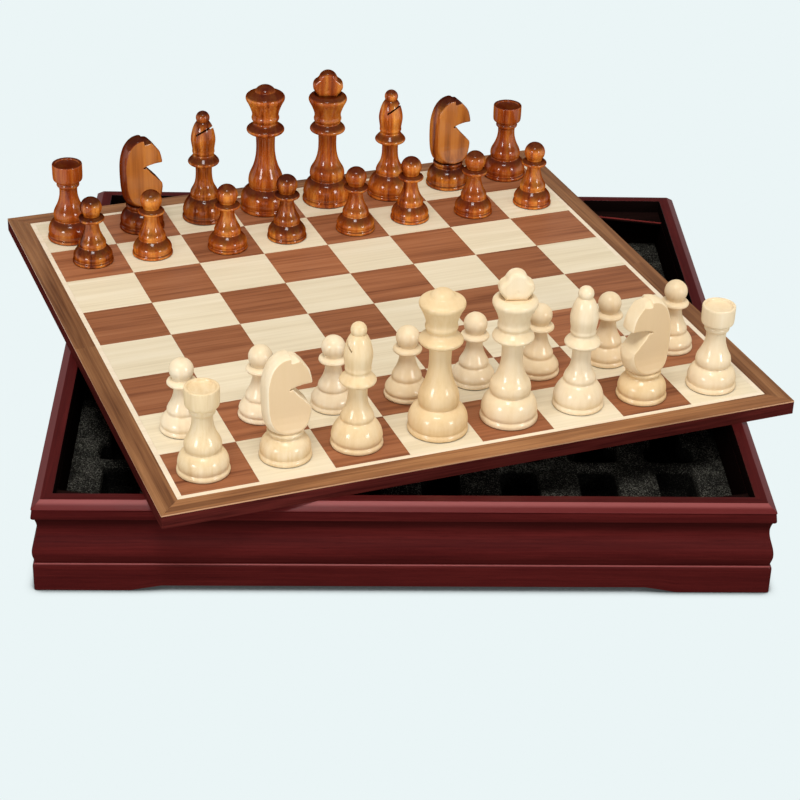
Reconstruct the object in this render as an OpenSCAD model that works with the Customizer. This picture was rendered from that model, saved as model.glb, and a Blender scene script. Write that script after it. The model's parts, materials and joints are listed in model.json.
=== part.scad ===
// Moulded chess chest with a loose inlaid board on its rim and a full set of turned chessmen.
// Millimetres. Origin: on the surface the chest stands on, straight below the board's middle.
// X runs along the chest's front, Y to its back, Z up.

/* [Board] */
// Side of one square of the field
cell = 38; // [34:0.5:44]
// Width of the pale line inlaid round the field
stringing_w = 2.6; // [1.6:0.1:4]
// Width of the border veneer outside the pale line
border_w = 10.9; // [7:0.1:16]
// Thickness of the core sheet
core_t = 6; // [4:0.5:10]
// Thickness of the face veneers
veneer_t = 0.7; // [0.5:0.1:1.2]
// Thickness of the backing veneer
backing_t = 0.7; // [0.5:0.1:1.2]
// Width of the solid edging round the core
edging_w = 3; // [2:0.5:6]
// Glue line left between neighbouring veneers
glue_line = 0.04; // [0.02:0.01:0.08]

/* [Board on the chest] */
// Turn of the loose board on the rim, anticlockwise from above
board_turn = 19.2; // [14:0.2:24]
// How far left of the chest's middle the board lies
board_left = 11.4; // [6:0.2:14]
// How far back of the chest's middle the board lies
board_back = 14.2; // [6:0.2:16]

/* [Chest] */
// Height of the rim above the surface
chest_h = 48.4; // [46:0.2:60]
// Play between the board and the rim when it is dropped in
lid_play = 0.6; // [0.3:0.1:1.5]
// Width of the flat land on top of the rim
land_w = 5.4; // [4:0.2:8]
// Width of the sloping facet outside the land
facet_w = 4.6; // [3:0.2:6]
// Drop of the sloping facet
facet_drop = 3.6; // [2:0.2:5]
// Height of the rim moulding
rim_h = 8.8; // [8:0.2:11]
// Height of the plinth moulding
plinth_h = 15.2; // [13:0.1:18]
// How far the cove under the rim goes in
cove_in = 2.6; // [1.5:0.1:3.5]
// How far the bulge of the wall stands out
bulge_out = 0.4; // [0:0.1:1.5]
// Radius that softens the rim's corners
corner_r = 1.5; // [1:0.5:3]
// Height of the cut-out between the feet
foot_h = 3; // [2:0.2:3.4]
// Length of each foot along a side
foot_l = 45; // [30:1:60]
// Length of the slope at the end of a foot
foot_slope = 15; // [8:1:20]

/* [Inside the chest] */
// Thickness of the bottom panel
panel_t = 3.5; // [3:0.5:4.5]
// Depth of the groove that holds the bottom panel
groove_d = 4; // [3:0.5:6]
// Play of the bottom panel in its groove, above and below
panel_play = 0.1; // [0.05:0.05:0.2]
// Room between the bottom panel's edge and the bottom of its groove
panel_room = 0.5; // [0.2:0.1:1]
// Thickness of the foam insert
foam_t = 13; // [10:0.5:16]
// Play between the foam insert and the walls
foam_play = 0.3; // [0.2:0.1:1]
// Thickness of the corner rests for the board
rest_t = 2; // [1.5:0.5:3]
// Length of a corner rest along the front or back wall
rest_l = 66; // [40:1:80]
// Width of a corner rest along a side wall
rest_w = 14.6; // [8:0.2:20]
// Foam left outside the outermost pockets' share of the width
foam_margin = 6; // [2:0.5:7]
// Foam left in front of the first row of pockets
foam_front = 12; // [8:1:16]
// Foam left between two rows of pockets
row_gap = 6; // [4:0.5:8]
// Play round a chessman in its pocket
pocket_play = 1.2; // [0.8:0.1:2]

/* [Chessmen] */
// Height of a pawn
pawn_h = 38.8; // [34:0.2:44]
// Base diameter of a pawn
pawn_d = 22.8; // [20:0.2:27]
// Height of a rook
rook_h = 45.8; // [40:0.2:50]
// Base diameter of a rook
rook_d = 25.8; // [22:0.2:29]
// Height of a knight
knight_h = 56; // [50:0.2:62]
// Base diameter of a knight
knight_d = 25.8; // [22:0.2:29]
// Height of a bishop
bishop_h = 66.2; // [58:0.2:72]
// Base diameter of a bishop
bishop_d = 26; // [22:0.2:29]
// Width of the saw cut in a bishop's mitre
cut_w = 1; // [0.6:0.1:1.4]
// Slope of this cut
cut_slope = 38; // [30:1:50]
// Height of a queen
queen_h = 76.9; // [70:0.1:80]
// Base diameter of a queen
queen_d = 30; // [26:0.2:32]
// Height of a king with its finial
king_h = 81.4; // [76:0.2:88]
// Base diameter of a king
king_d = 29; // [26:0.2:32]
// How far the men stand off the middle of their squares: 1 as put down by hand, 0 exact
by_hand = 1; // [0:0.1:1]
// Radius of the pegs that hold knights' heads and kings' finials
peg_r = 2.5; // [2:0.1:3]
// Length of these pegs
peg_l = 5; // [3:0.5:6]
// Play round a peg in its hole
peg_play = 0.05; // [0.02:0.01:0.08]
// Room left below a peg in its hole
peg_room = 0.5; // [0.2:0.1:1]
// Thickness of a king's flat finial
finial_t = 8; // [6:0.5:10]

/* [Hidden] */
$fn = 48;
field = 8 * cell;
board_half = field / 2 + stringing_w + border_w;
board_t = core_t + veneer_t + backing_t;
line_half = field / 2 + stringing_w;
core_half = board_half - edging_w;
opening = board_half + lid_play;
fascia = opening + land_w + facet_w;
rim_z = chest_h - rim_h;
lip = 1.5;
lip_r = 0.5;
groove_in = 0.9;
bulge_z = plinth_h + 0.22 * (rim_z - plinth_h);
cove_z = plinth_h + 0.78 * (rim_z - plinth_h);
panel_z = foot_h + 1;
foam_z = panel_z + panel_t;
foam_top = foam_z + foam_t;
foam_half = opening - foam_play;
rest_z = chest_h - board_t - rest_t;
far = 2 * fascia;
// rounded top edge of the plinth
plinth_soft_h = 2.2;
plinth_soft_w = 1.6;
steps = 8;
cut_low = 0.8;
// how far up a pawn, bishop, king and knight their lowest turned part reaches
neck_share = 0.724;
tip_share = 0.914;
crown_share = 0.8256;
socket_share = 0.275;
light = [0.90, 0.81, 0.62];
dark = [0.50, 0.23, 0.10];
chest_red = [0.33, 0.09, 0.09];
walnut = [0.48, 0.30, 0.20];

// ---------- chest: three mouldings, each mitred round four sides ----------

// the chest is drawn about the middle of its own footprint
module at_chest() {
    translate([board_left, -board_back, 0])
        children();
}

function ease(t) = (1 - cos(180 * t)) / 2;

// outline of the rim moulding: distance out from the middle, height
function rim_outline() = [
    [opening, rim_z], [opening, chest_h],
    [opening + land_w, chest_h],
    [fascia, chest_h - facet_drop],
    [fascia, rim_z + lip_r],
    for (i = [1 : 4])
        [fascia - lip_r + lip_r * cos(22.5 * i), rim_z + lip_r - lip_r * sin(22.5 * i)]];

// the wall: small shoulder, bulge, then the cove under the rim
function wall_outline() = [
    [opening, plinth_h],
    for (i = [0 : steps - 1])
        let (t = i / steps)
        [fascia - groove_in + (groove_in + bulge_out) * sin(90 * t),
            plinth_h + (bulge_z - plinth_h) * t],
    for (i = [0 : 2 * steps - 1])
        let (t = i / (2 * steps))
        [fascia + bulge_out - (bulge_out + cove_in) * ease(t),
            bulge_z + (cove_z - bulge_z) * t],
    for (i = [0 : steps])
        let (t = i / steps)
        [fascia - cove_in + (cove_in - lip) * (1 - cos(90 * t)),
            cove_z + (rim_z - cove_z) * t],
    [opening, rim_z]];

// the plinth: rounded top edge, groove inside for the bottom panel
function plinth_outline() = [
    [opening, 0], [fascia + bulge_out, 0],
    [fascia + bulge_out, plinth_h - plinth_soft_h],
    for (i = [1 : 4])
        [fascia + bulge_out - plinth_soft_w * (1 - cos(22.5 * i)),
            plinth_h - plinth_soft_h * (1 - sin(22.5 * i))],
    [opening, plinth_h],
    [opening, panel_z + panel_t + panel_play],
    [opening + groove_d, panel_z + panel_t + panel_play],
    [opening + groove_d, panel_z - panel_play],
    [opening, panel_z - panel_play]];

// a front moulding: the outline run along X, cut to 45 degree mitres
module mitred(outline) {
    intersection() {
        rotate([90, 0, -90])
            translate([0, 0, -far])
                linear_extrude(2 * far)
                    polygon(outline);
        linear_extrude(chest_h + 1)
            polygon([[0, 0], [-far, -far], [far, -far]]);
    }
}

module corner_trim() {
    for (s = [-1, 1])
        translate([s * (fascia - corner_r), -(fascia - corner_r), rim_z - 1])
            linear_extrude(rim_h + 2)
                difference() {
                    translate([s > 0 ? 0 : -2 * corner_r, -2 * corner_r])
                        square(2 * corner_r);
                    circle(corner_r);
                }
}

module rim_side() {
    color(chest_red)
        difference() {
            mitred(rim_outline());
            corner_trim();
        }
}

module wall_side() {
    color(chest_red) mitred(wall_outline());
}

module plinth_side() {
    color(chest_red)
        difference() {
            mitred(plinth_outline());
            rotate([90, 0, 0])
                linear_extrude(far)
                    polygon([
                        [-(fascia - foot_l), -1], [-(fascia - foot_l), 0],
                        [-(fascia - foot_l - foot_slope), foot_h],
                        [fascia - foot_l - foot_slope, foot_h],
                        [fascia - foot_l, 0], [fascia - foot_l, -1]]);
        }
}

module rim_front() at_chest() rim_side();
module rim_right() at_chest() rotate(90) rim_side();
module rim_back() at_chest() rotate(180) rim_side();
module rim_left() at_chest() rotate(270) rim_side();
module wall_front() at_chest() wall_side();
module wall_right() at_chest() rotate(90) wall_side();
module wall_back() at_chest() rotate(180) wall_side();
module wall_left() at_chest() rotate(270) wall_side();
module plinth_front() at_chest() plinth_side();
module plinth_right() at_chest() rotate(90) plinth_side();
module plinth_back() at_chest() rotate(180) plinth_side();
module plinth_left() at_chest() rotate(270) plinth_side();

module bottom_panel() {
    half = opening + groove_d - panel_room;
    color([0.62, 0.48, 0.34])
        at_chest()
            translate([-half, -half, panel_z])
                cube([2 * half, 2 * half, panel_t]);
}

// thin three-cornered rests in the four corners, level so that the board drops in flush
module lid_rests() {
    color(chest_red)
        at_chest()
            for (sx = [-1, 1], sy = [-1, 1])
                translate([0, 0, rest_z])
                    linear_extrude(rest_t)
                        polygon([
                            [sx * opening, sy * opening],
                            [sx * (opening - rest_l), sy * opening],
                            [sx * opening, sy * (opening - rest_w)]]);
}

// a pocket is a wide part for the base and a narrower part for the body
module pocket(y, len, base_d, body_d, base_len) {
    wide = base_d + 2 * pocket_play;
    slim = body_d + 2 * pocket_play;
    translate([-wide / 2, y])
        square([wide, base_len]);
    translate([-slim / 2, y])
        square([slim, len]);
}

pocket_pitch = (foam_half - foam_margin) / 4;
len1 = knight_h + 2 * pocket_play;
len2 = 2 * pawn_h + 3 * pocket_play;
row1 = -foam_half + foam_front;
row2 = row1 + len1 + row_gap;
row3 = row2 + len2 + row_gap;
// widest of the bodies in each row, and the length that their bases take up
body_d1 = 16;
body_d2 = 14;
body_d3 = 21;
base_l1 = 22;
base_l2 = 18;
base_l3 = 24;

// from the front: a rook or knight, two pawns head to head, then a taller man
module pocket_column(tall_h) {
    pocket(row1, len1, knight_d, body_d1, base_l1);
    pocket(row2, len2, pawn_d, body_d2, base_l2);
    pocket(row2 + len2 - base_l2, base_l2, pawn_d, body_d2, base_l2);
    pocket(row3, tall_h + 2 * pocket_play, max(king_d, queen_d), body_d3, base_l3);
}

module foam_insert() {
    color([0.10, 0.10, 0.10])
        at_chest()
            translate([0, 0, foam_z])
                linear_extrude(foam_t)
                    difference() {
                        square(2 * foam_half, center = true);
                        for (i = [0 : 7])
                            translate([(i - 3.5) * pocket_pitch, 0])
                                pocket_column(i == 0 || i == 7 ? king_h :
                                    i == 3 || i == 4 ? queen_h : bishop_h);
                    }
}

// ---------- board: edged core, backing and inlaid face veneers ----------

// the board and what stands on it are drawn about the board's middle, from the rim's top
module on_rim() {
    translate([0, 0, chest_h])
        rotate(board_turn)
            children();
}

// four mitred strips between two squares, a glue line apart
module strips(inner, outer, z, h) {
    for (a = [0 : 90 : 270])
        rotate(a)
            translate([0, 0, z])
                linear_extrude(h)
                    polygon([
                        [-inner + glue_line, -inner], [inner - glue_line, -inner],
                        [outer - glue_line, -outer], [-outer + glue_line, -outer]]);
}

module board_core() {
    color([0.70, 0.60, 0.45])
        on_rim()
            translate([-core_half, -core_half, backing_t])
                cube([2 * core_half, 2 * core_half, core_t]);
}

module board_backing() {
    color(walnut)
        on_rim()
            translate([-core_half, -core_half, 0])
                cube([2 * core_half, 2 * core_half, backing_t]);
}

module board_edging() {
    color([0.30, 0.10, 0.09])
        on_rim()
            strips(core_half, board_half, 0, backing_t + core_t);
}

module veneer_border() {
    color(walnut)
        on_rim()
            strips(line_half + glue_line, board_half, backing_t + core_t, veneer_t);
}

module veneer_line() {
    color([0.95, 0.88, 0.72])
        on_rim()
            strips(field / 2 + glue_line / 2, line_half, backing_t + core_t, veneer_t);
}

// odd = 0 gives the dark squares, a1 among them; odd = 1 the light ones
module squares(odd) {
    for (i = [0 : 7], j = [0 : 7])
        if ((i + j) % 2 == odd)
            translate([(i - 4) * cell + glue_line / 2, (j - 4) * cell + glue_line / 2,
                    backing_t + core_t])
                cube([cell - glue_line, cell - glue_line, veneer_t]);
}

module veneer_dark_squares() {
    color([0.55, 0.33, 0.21]) on_rim() squares(0);
}

module veneer_light_squares() {
    color([0.89, 0.83, 0.70]) on_rim() squares(1);
}

// ---------- chessmen ----------

// puts a man on its square; dx and dy are how far off the middle it was put down
module stand(file, rank, dx, dy) {
    translate([0, 0, board_t])
        translate([(file - 4.5) * cell + by_hand * dx, (rank - 4.5) * cell + by_hand * dy, 0])
            children();
}

// turns a list of [radius, height] points, stretched to the diameter d and the height h
module turned(points, d, h) {
    k = d / 2 / max([for (p = points) p[0]]);
    m = h / max([for (p = points) p[1]]);
    rotate_extrude()
        polygon([
            [0, 0],
            for (p = points) [p[0] * k, p[1] * m],
            [0, points[len(points) - 1][1] * m]]);
}

module pawn() {
    ball_r = pawn_d * 0.265;
    neck_r = pawn_d * 0.135;
    turned([
            [11.1, 0], [11.3, 0.4], [11.4, 1.1], [11.2, 1.8], [10.8, 2.3], [10.6, 2.8],
            [10.8, 3.4], [10.95, 4.3], [10.7, 5.4], [10, 6.7], [9.1, 7.9], [8.2, 8.9],
            [7.6, 9.5], [7.4, 10.1], [7.6, 10.7], [7.6, 11.7], [7.1, 13.1], [6.1, 14.8],
            [5.2, 16.8], [4.5, 19], [4.05, 21.4], [3.95, 23.4], [4.1, 24.8], [6.6, 25],
            [7.3, 25.6], [7.35, 26.5], [6.6, 27.4], [4.6, 28.1]],
        pawn_d, neck_share * pawn_h);
    translate([0, 0, pawn_h - ball_r])
        sphere(ball_r);
    cylinder(r = neck_r, h = pawn_h - ball_r);
}

module rook() {
    turned([
            [12.5, 0], [12.8, 0.4], [12.9, 1.2], [12.7, 2], [12.2, 2.6], [12, 3.1],
            [12.2, 3.8], [12.4, 4.8], [12.3, 6.2], [11.8, 8], [11, 9.5], [9.9, 10.8],
            [9, 11.5], [8.5, 12.1], [8.6, 12.7], [8.95, 13.4], [9.1, 14.6], [8.95, 16.2],
            [8.4, 17.7], [7.6, 19.2], [6.8, 20.8], [6.1, 22.6], [5.6, 24.3], [5.25, 25.9],
            [5.05, 27.6], [5, 29.4], [5.15, 31.4], [5.9, 31.9], [6.4, 32.6], [6.4, 33.5],
            [6, 34.2], [6.2, 34.9], [7.6, 35.6], [8.15, 36.2], [8.35, 37.2], [8.45, 40],
            [8.45, 44.9], [8.35, 45.5], [8, 45.8], [7.3, 45.8], [6.9, 45.5], [6.6, 44.7],
            [5.6, 44.2], [3, 44]],
        rook_d, rook_h);
}

module bishop() {
    ball_r = bishop_d * 0.152;
    neck_r = bishop_d * 0.1;
    difference() {
        union() {
            turned([
                    [12.6, 0], [12.9, 0.4], [13, 1.2], [12.8, 2], [12.3, 2.6], [12.1, 3.1],
                    [12.4, 3.8], [12.65, 4.9], [12.5, 6.4], [12, 8.2], [11.2, 10],
                    [10.1, 11.7], [9.1, 12.9], [8.3, 13.6], [7.9, 14.2], [8.1, 14.9],
                    [8.2, 15.8], [7.8, 17.2], [7.1, 18.6], [6.3, 20], [5.6, 21.6],
                    [5.15, 23.4], [4.85, 25.4], [4.7, 28], [4.7, 31], [4.95, 33.6],
                    [7.4, 33.9], [8.4, 34.3], [9, 35], [9.05, 35.8], [8.5, 36.7],
                    [7.5, 37.8], [6.6, 38.8], [6, 39.7], [5.95, 40.4], [6.4, 41.2],
                    [6.45, 42], [6.3, 42.9], [6.45, 44.2], [6.75, 46], [7.05, 48.2],
                    [7.05, 50], [6.8, 51.8], [6.3, 54.2], [5.6, 56.5], [4.7, 58.5],
                    [3.6, 60], [2.9, 60.5]],
                bishop_d, tip_share * bishop_h);
            translate([0, 0, bishop_h - ball_r])
                sphere(ball_r);
            cylinder(r = neck_r, h = bishop_h - ball_r);
        }
        // the saw cut: in from the +X side, down to the middle
        translate([0, 0, cut_low * bishop_h])
            rotate([0, -cut_slope, 0])
                translate([0, -bishop_d / 2, -cut_w / 2])
                    cube([bishop_d / 2, bishop_d, cut_w]);
    }
}

module queen() {
    turned([
            [14.5, 0], [14.9, 0.5], [15, 1.5], [14.7, 2.4], [14.3, 3], [14.25, 3.5],
            [14.6, 4.2], [14.8, 5.6], [14.7, 7.4], [14.2, 9.4], [13.3, 11.2], [12, 12.6],
            [10.7, 13.5], [9.8, 14.1], [9.6, 14.6], [9.9, 15.3], [10.2, 16.6], [10.2, 18.2],
            [9.9, 20.6], [9.3, 22.5], [8.2, 24.9], [7.4, 26.8], [6.5, 29.8], [5.9, 32.8],
            [5.5, 36], [5.4, 40], [5.55, 44.5], [5.8, 47.6], [8.9, 47.9], [10.1, 48.4],
            [10.8, 49.1], [11.05, 50], [10.7, 50.9], [9.6, 51.8], [8, 52.8], [7, 54],
            [7, 54.9], [7.6, 55.7], [8.05, 56.6], [8.05, 57.6], [7.65, 58.6], [7.7, 60],
            [8.3, 62], [9.1, 64.2], [10.2, 66.6], [11, 67.8], [11.35, 69], [11.35, 70],
            [10.9, 70.9], [9.9, 71.7], [7.6, 72.6], [6.2, 73.1], [5.6, 74.2], [4.4, 75.6],
            [2.6, 76.6], [1, 76.9]],
        queen_d, queen_h);
}

king_top = crown_share * king_h;

module king() {
    difference() {
        turned([
                [14.1, 0], [14.4, 0.5], [14.5, 1.6], [14.2, 2.6], [13.7, 3.3], [13.65, 3.8],
                [13.9, 4.4], [14.05, 5.4], [13.95, 6.8], [13.6, 8.6], [12.9, 10.6],
                [11.9, 12.4], [10.6, 13.7], [9.7, 14.4], [9.6, 14.9], [10, 15.6],
                [10.3, 16.8], [10.3, 18.2], [9.9, 20.2], [9.2, 21.6], [8.1, 23.3],
                [7.1, 25.4], [6.3, 27.8], [5.7, 30.4], [5.35, 33.2], [5.25, 37], [5.35, 41],
                [5.6, 44.2], [8.6, 44.4], [9.9, 44.7], [10.4, 45.5], [10.3, 46.4],
                [9.6, 47.5], [8.5, 48.6], [7.4, 49.5], [7.2, 50.3], [7.8, 51], [8.15, 51.9],
                [8, 52.9], [7.65, 53.9], [7.75, 55.4], [8.3, 57.4], [9.1, 59.4], [10, 61.3],
                [10.8, 62.7], [11.25, 64], [11.1, 65.2], [10.5, 66.1], [9.5, 66.8],
                [8.6, 67.2]],
            king_d, king_top);
        translate([0, 0, king_top - peg_l - peg_room])
            cylinder(r = peg_r + peg_play, h = peg_l + peg_room + 1);
    }
}

// flat clover with a peg below it
module finial() {
    u = (king_h - king_top) / (8.8 + 5.4);
    translate([0, 0, king_top])
        rotate([90, 0, 0])
            translate([0, 0, -finial_t / 2])
                linear_extrude(finial_t)
                    union() {
                        translate([0, 8.8 * u]) circle(5.4 * u);
                        translate([-4.4 * u, 5.4 * u]) circle(4.3 * u);
                        translate([4.4 * u, 5.4 * u]) circle(4.3 * u);
                        polygon([
                            [-5.4 * u, 0], [5.4 * u, 0], [6.6 * u, 4 * u], [-6.6 * u, 4 * u]]);
                    }
    translate([0, 0, king_top - peg_l])
        cylinder(r = peg_r, h = peg_l + 1);
}

knight_top = socket_share * knight_h;

module knight_base() {
    difference() {
        turned([
                [12.5, 0], [12.8, 0.4], [12.9, 1.2], [12.7, 2], [12.2, 2.6], [12, 3.1],
                [12.2, 3.8], [12.4, 4.8], [12.3, 6.2], [11.8, 8], [11, 9.4], [9.9, 10.7],
                [9, 11.5], [8.4, 12.1], [8.3, 12.7], [8.7, 13.3], [9, 14.1], [8.9, 14.9],
                [8.5, 15.4]],
            knight_d, knight_top);
        translate([0, 0, knight_top - peg_l - peg_room])
            cylinder(r = peg_r + peg_play, h = peg_l + peg_room + 1);
    }
}

// head turned like a bullet, milled flat on both sides, and sawn to the side view
module knight_head() {
    blank = [
        [7.5, 0], [9.9, 1.8], [11.4, 5.3], [12.1, 10.6], [12.35, 17.6], [12.25, 24.6],
        [11.35, 29.6], [9.85, 34.1], [7.6, 37.4], [5, 39.6], [2, 40.6]];
    side = [
        [-15, -1], [-15, 42], [1.2, 42], [1.3, 39.8], [4.1, 39.2], [5.9, 37.5], [8.6, 34.5],
        [11.5, 30.5], [12.6, 28], [15, 27], [15, 24.6], [8.5, 24.8], [5, 24.5],
        [2.7, 24], [1.9, 23.5], [2.5, 22.5], [5, 19.5], [8.4, 15.9], [10.9, 13],
        [12, 10.2], [15, 3], [15, -1]];
    half_front = [
        [9.1, -1], [8.8, 0], [7.8, 3], [6.95, 6], [6.35, 9], [6.1, 12], [6, 15], [4.9, 42]];
    last = len(half_front) - 1;
    front = concat(half_front,
        [for (i = [last : -1 : 0]) [-half_front[i][0], half_front[i][1]]]);
    k = knight_d / 25.8;
    m = (knight_h - knight_top) / blank[len(blank) - 1][1];
    translate([0, 0, knight_top])
        intersection() {
            translate([0.55 * k, 0, 0])
                rotate_extrude()
                    polygon([
                        [0, 0],
                        for (p = blank) [p[0] * k, p[1] * m],
                        [0, blank[len(blank) - 1][1] * m]]);
            rotate([90, 0, 0])
                translate([0, 0, -knight_d])
                    linear_extrude(2 * knight_d)
                        polygon([for (p = side) [p[0] * k, p[1] * m]]);
            rotate([90, 0, 90])
                translate([0, 0, -knight_d])
                    linear_extrude(2 * knight_d)
                        polygon([for (p = front) [p[0] * k, p[1] * m]]);
        }
    translate([0, 0, knight_top - peg_l])
        cylinder(r = peg_r, h = peg_l + 1);
}

module light_pawn_a() color(light) on_rim() stand(1, 2, -1.5, 1.5) pawn();
module light_pawn_b() color(light) on_rim() stand(2, 2, 0.5, 2) pawn();
module light_pawn_c() color(light) on_rim() stand(3, 2, -0.5, 0) pawn();
module light_pawn_d() color(light) on_rim() stand(4, 2, 0, -2) pawn();
module light_pawn_e() color(light) on_rim() stand(5, 2, -0.5, 0.5) pawn();
module light_pawn_f() color(light) on_rim() stand(6, 2, -3.2, -1) pawn();
module light_pawn_g() color(light) on_rim() stand(7, 2, -2, -0.5) pawn();
module light_pawn_h() color(light) on_rim() stand(8, 2, -1, 1) pawn();
module light_rook_a() color(light) on_rim() stand(1, 1, -3, -0.7) rook();
module light_rook_h() color(light) on_rim() stand(8, 1, 0, -3.5) rook();
module light_bishop_c() color(light) on_rim() stand(3, 1, -1.8, -0.3) rotate(131) bishop();
module light_bishop_f() color(light) on_rim() stand(6, 1, 2.5, 0) rotate(50) bishop();
module light_queen() color(light) on_rim() stand(4, 1, 2.5, 0) queen();
module light_king() color(light) on_rim() stand(5, 1, 2.2, -0.9) king();
module light_king_finial() color(light) on_rim() stand(5, 1, 2.2, -0.9) rotate(-14) finial();
module light_knight_b_base() color(light) on_rim() stand(2, 1, 0, 0) knight_base();
module light_knight_b_head() color(light) on_rim() stand(2, 1, 0, 0) knight_head();
module light_knight_g_base() color(light) on_rim() stand(7, 1, -1, -2) knight_base();
module light_knight_g_head() color(light)
    on_rim() stand(7, 1, -1, -2) rotate(188) knight_head();

module dark_pawn_a() color(dark) on_rim() stand(1, 7, 1.5, 2.5) pawn();
module dark_pawn_b() color(dark) on_rim() stand(2, 7, -2.5, 1.5) pawn();
module dark_pawn_c() color(dark) on_rim() stand(3, 7, 2, -4) pawn();
module dark_pawn_d() color(dark) on_rim() stand(4, 7, 0.3, -1.5) pawn();
module dark_pawn_e() color(dark) on_rim() stand(5, 7, 3.5, -3.5) pawn();
module dark_pawn_f() color(dark) on_rim() stand(6, 7, 1, 0.5) pawn();
module dark_pawn_g() color(dark) on_rim() stand(7, 7, 1.8, -3) pawn();
module dark_pawn_h() color(dark) on_rim() stand(8, 7, 2.5, -2) pawn();
module dark_rook_a() color(dark) on_rim() stand(1, 8, -3.3, -2) rook();
module dark_rook_h() color(dark) on_rim() stand(8, 8, 3, 3) rook();
module dark_bishop_c() color(dark) on_rim() stand(3, 8, 1, 0.5) rotate(-54) bishop();
module dark_bishop_f() color(dark) on_rim() stand(6, 8, 1.5, -1.5) rotate(-40) bishop();
module dark_queen() color(dark) on_rim() stand(4, 8, 1, 2) queen();
module dark_king() color(dark) on_rim() stand(5, 8, 1, 1.5) king();
module dark_king_finial() color(dark) on_rim() stand(5, 8, 1, 1.5) rotate(-18) finial();
module dark_knight_b_base() color(dark) on_rim() stand(2, 8, 1, -1) knight_base();
module dark_knight_b_head() color(dark) on_rim() stand(2, 8, 1, -1) rotate(4) knight_head();
module dark_knight_g_base() color(dark) on_rim() stand(7, 8, 2.5, 1.3) knight_base();
module dark_knight_g_head() color(dark) on_rim() stand(7, 8, 2.5, 1.3) rotate(4) knight_head();

rim_front();
rim_back();
rim_left();
rim_right();
wall_front();
wall_back();
wall_left();
wall_right();
plinth_front();
plinth_back();
plinth_left();
plinth_right();
bottom_panel();
lid_rests();
foam_insert();
board_core();
board_backing();
board_edging();
veneer_border();
veneer_line();
veneer_light_squares();
veneer_dark_squares();
light_pawn_a();
light_pawn_b();
light_pawn_c();
light_pawn_d();
light_pawn_e();
light_pawn_f();
light_pawn_g();
light_pawn_h();
light_rook_a();
light_rook_h();
light_bishop_c();
light_bishop_f();
light_queen();
light_king();
light_king_finial();
light_knight_b_base();
light_knight_b_head();
light_knight_g_base();
light_knight_g_head();
dark_pawn_a();
dark_pawn_b();
dark_pawn_c();
dark_pawn_d();
dark_pawn_e();
dark_pawn_f();
dark_pawn_g();
dark_pawn_h();
dark_rook_a();
dark_rook_h();
dark_bishop_c();
dark_bishop_f();
dark_queen();
dark_king();
dark_king_finial();
dark_knight_b_base();
dark_knight_b_head();
dark_knight_g_base();
dark_knight_g_head();
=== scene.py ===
"""Chess chest with a loose inlaid board on its rim and a set of turned, lacquered chessmen.

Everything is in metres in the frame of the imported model. Each piece takes its place from the
"""

import json
import math
import random

import bmesh
import bpy
import numpy as np
from mathutils import Matrix, Vector


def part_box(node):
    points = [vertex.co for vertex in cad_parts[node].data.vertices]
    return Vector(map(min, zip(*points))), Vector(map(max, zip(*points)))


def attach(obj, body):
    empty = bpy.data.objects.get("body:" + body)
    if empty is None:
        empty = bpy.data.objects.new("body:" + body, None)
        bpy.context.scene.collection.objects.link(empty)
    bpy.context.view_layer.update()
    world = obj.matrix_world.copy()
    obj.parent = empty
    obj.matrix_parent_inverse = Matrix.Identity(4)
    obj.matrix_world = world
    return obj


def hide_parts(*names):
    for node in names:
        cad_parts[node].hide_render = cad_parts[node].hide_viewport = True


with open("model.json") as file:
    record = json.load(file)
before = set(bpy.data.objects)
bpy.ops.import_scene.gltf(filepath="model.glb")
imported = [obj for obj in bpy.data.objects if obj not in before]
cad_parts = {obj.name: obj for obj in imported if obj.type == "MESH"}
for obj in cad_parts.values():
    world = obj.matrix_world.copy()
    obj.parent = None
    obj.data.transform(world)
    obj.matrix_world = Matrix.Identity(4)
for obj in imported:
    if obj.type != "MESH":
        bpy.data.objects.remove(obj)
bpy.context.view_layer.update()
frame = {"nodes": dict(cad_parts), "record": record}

MM = 0.001
BOARD_TURN = math.radians(19.2)
CELL = 38 * MM  # side of a square
CORNER_R = 1.5 * MM  # of the chest's upright corners
BACK_FILES = "rook_a knight_b bishop_c queen king bishop_f knight_g rook_h".split()
DARK_KNIGHT_TURN = 4  # in degrees, off the board's files
FELT = 0.45  # thickness, in mm

# what the frame says about the chest: its middle, distances from there to its faces, heights
panel_lo, panel_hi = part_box("bottom_panel")
MID = (panel_lo + panel_hi) / 2
rim_lo, rim_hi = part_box("rim_front")
FASCIA = MID.y - rim_lo.y
OPENING = MID.y - rim_hi.y
RIM_Z, CHEST_H = rim_lo.z, rim_hi.z
PLINTH_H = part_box("plinth_front")[1].z
BULGE = MID.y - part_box("plinth_front")[0].y - FASCIA
REST_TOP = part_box("lid_rests")[1].z
FOAM_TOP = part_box("foam_insert")[1].z


# ---------------------------------------------------------------- shader wiring

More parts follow.
